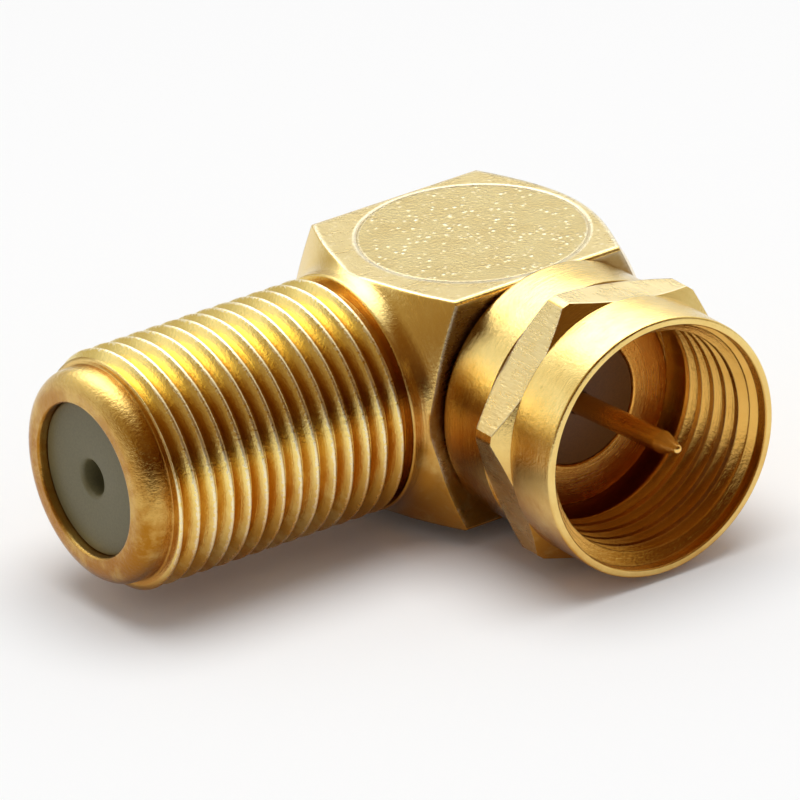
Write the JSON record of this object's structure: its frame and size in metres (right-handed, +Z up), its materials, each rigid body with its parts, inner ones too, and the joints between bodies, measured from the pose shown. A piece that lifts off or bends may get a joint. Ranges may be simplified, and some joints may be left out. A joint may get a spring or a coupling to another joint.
{
  "type": "right-angle coaxial connector adapter",
  "caption": "Gold-plated right-angle coaxial F connector adapter: threaded jack barrel, square elbow block and a plug with a free-turning hex coupling nut and centre pin.",
  "frame": {"origin": "centre of the square block's bottom flat, straight under the crossing of the jack's and the plug's axes", "axes": "+Z up from the bottom flat to the cover disc; the jack points along -X and the plug along -Y, both 4.85 mm above the bottom flat"},
  "size_m": [0.0243, 0.0182, 0.0111],
  "materials": {
    "body_plating": "bright gold plating, turned and polished",
    "cover_plating": "gold plating over a pitted, satin pressed face",
    "jack_plastic": "matt grey-olive moulded plastic",
    "inner_plastic": "plain moulded plastic",
    "contact_plating": "gold-plated spring metal",
    "ferrule_plating": "gold plating, turned",
    "plug_plastic": "matt grey-brown moulded plastic",
    "pin_plating": "bright gold plating",
    "nut_plating": "bright gold plating, turned and polished"
  },
  "bodies": {
    "adapter": {"body": "body_plating", "cover_disc": "cover_plating", "front_insulator": "jack_plastic", "rear_insulator": "inner_plastic", "jack_contact": "contact_plating", "ferrule": "ferrule_plating", "plug_insulator": "plug_plastic", "centre_pin": "pin_plating"},
    "nut": {"coupling_nut": "nut_plating"}
  },
  "joints": [
    {"name": "nut_spin", "type": "hinge", "parent": "adapter", "child": "nut", "pos_m": [0, -0.0054, 0.00485], "axis": [0, -1, 0], "continuous": true}
  ]
}
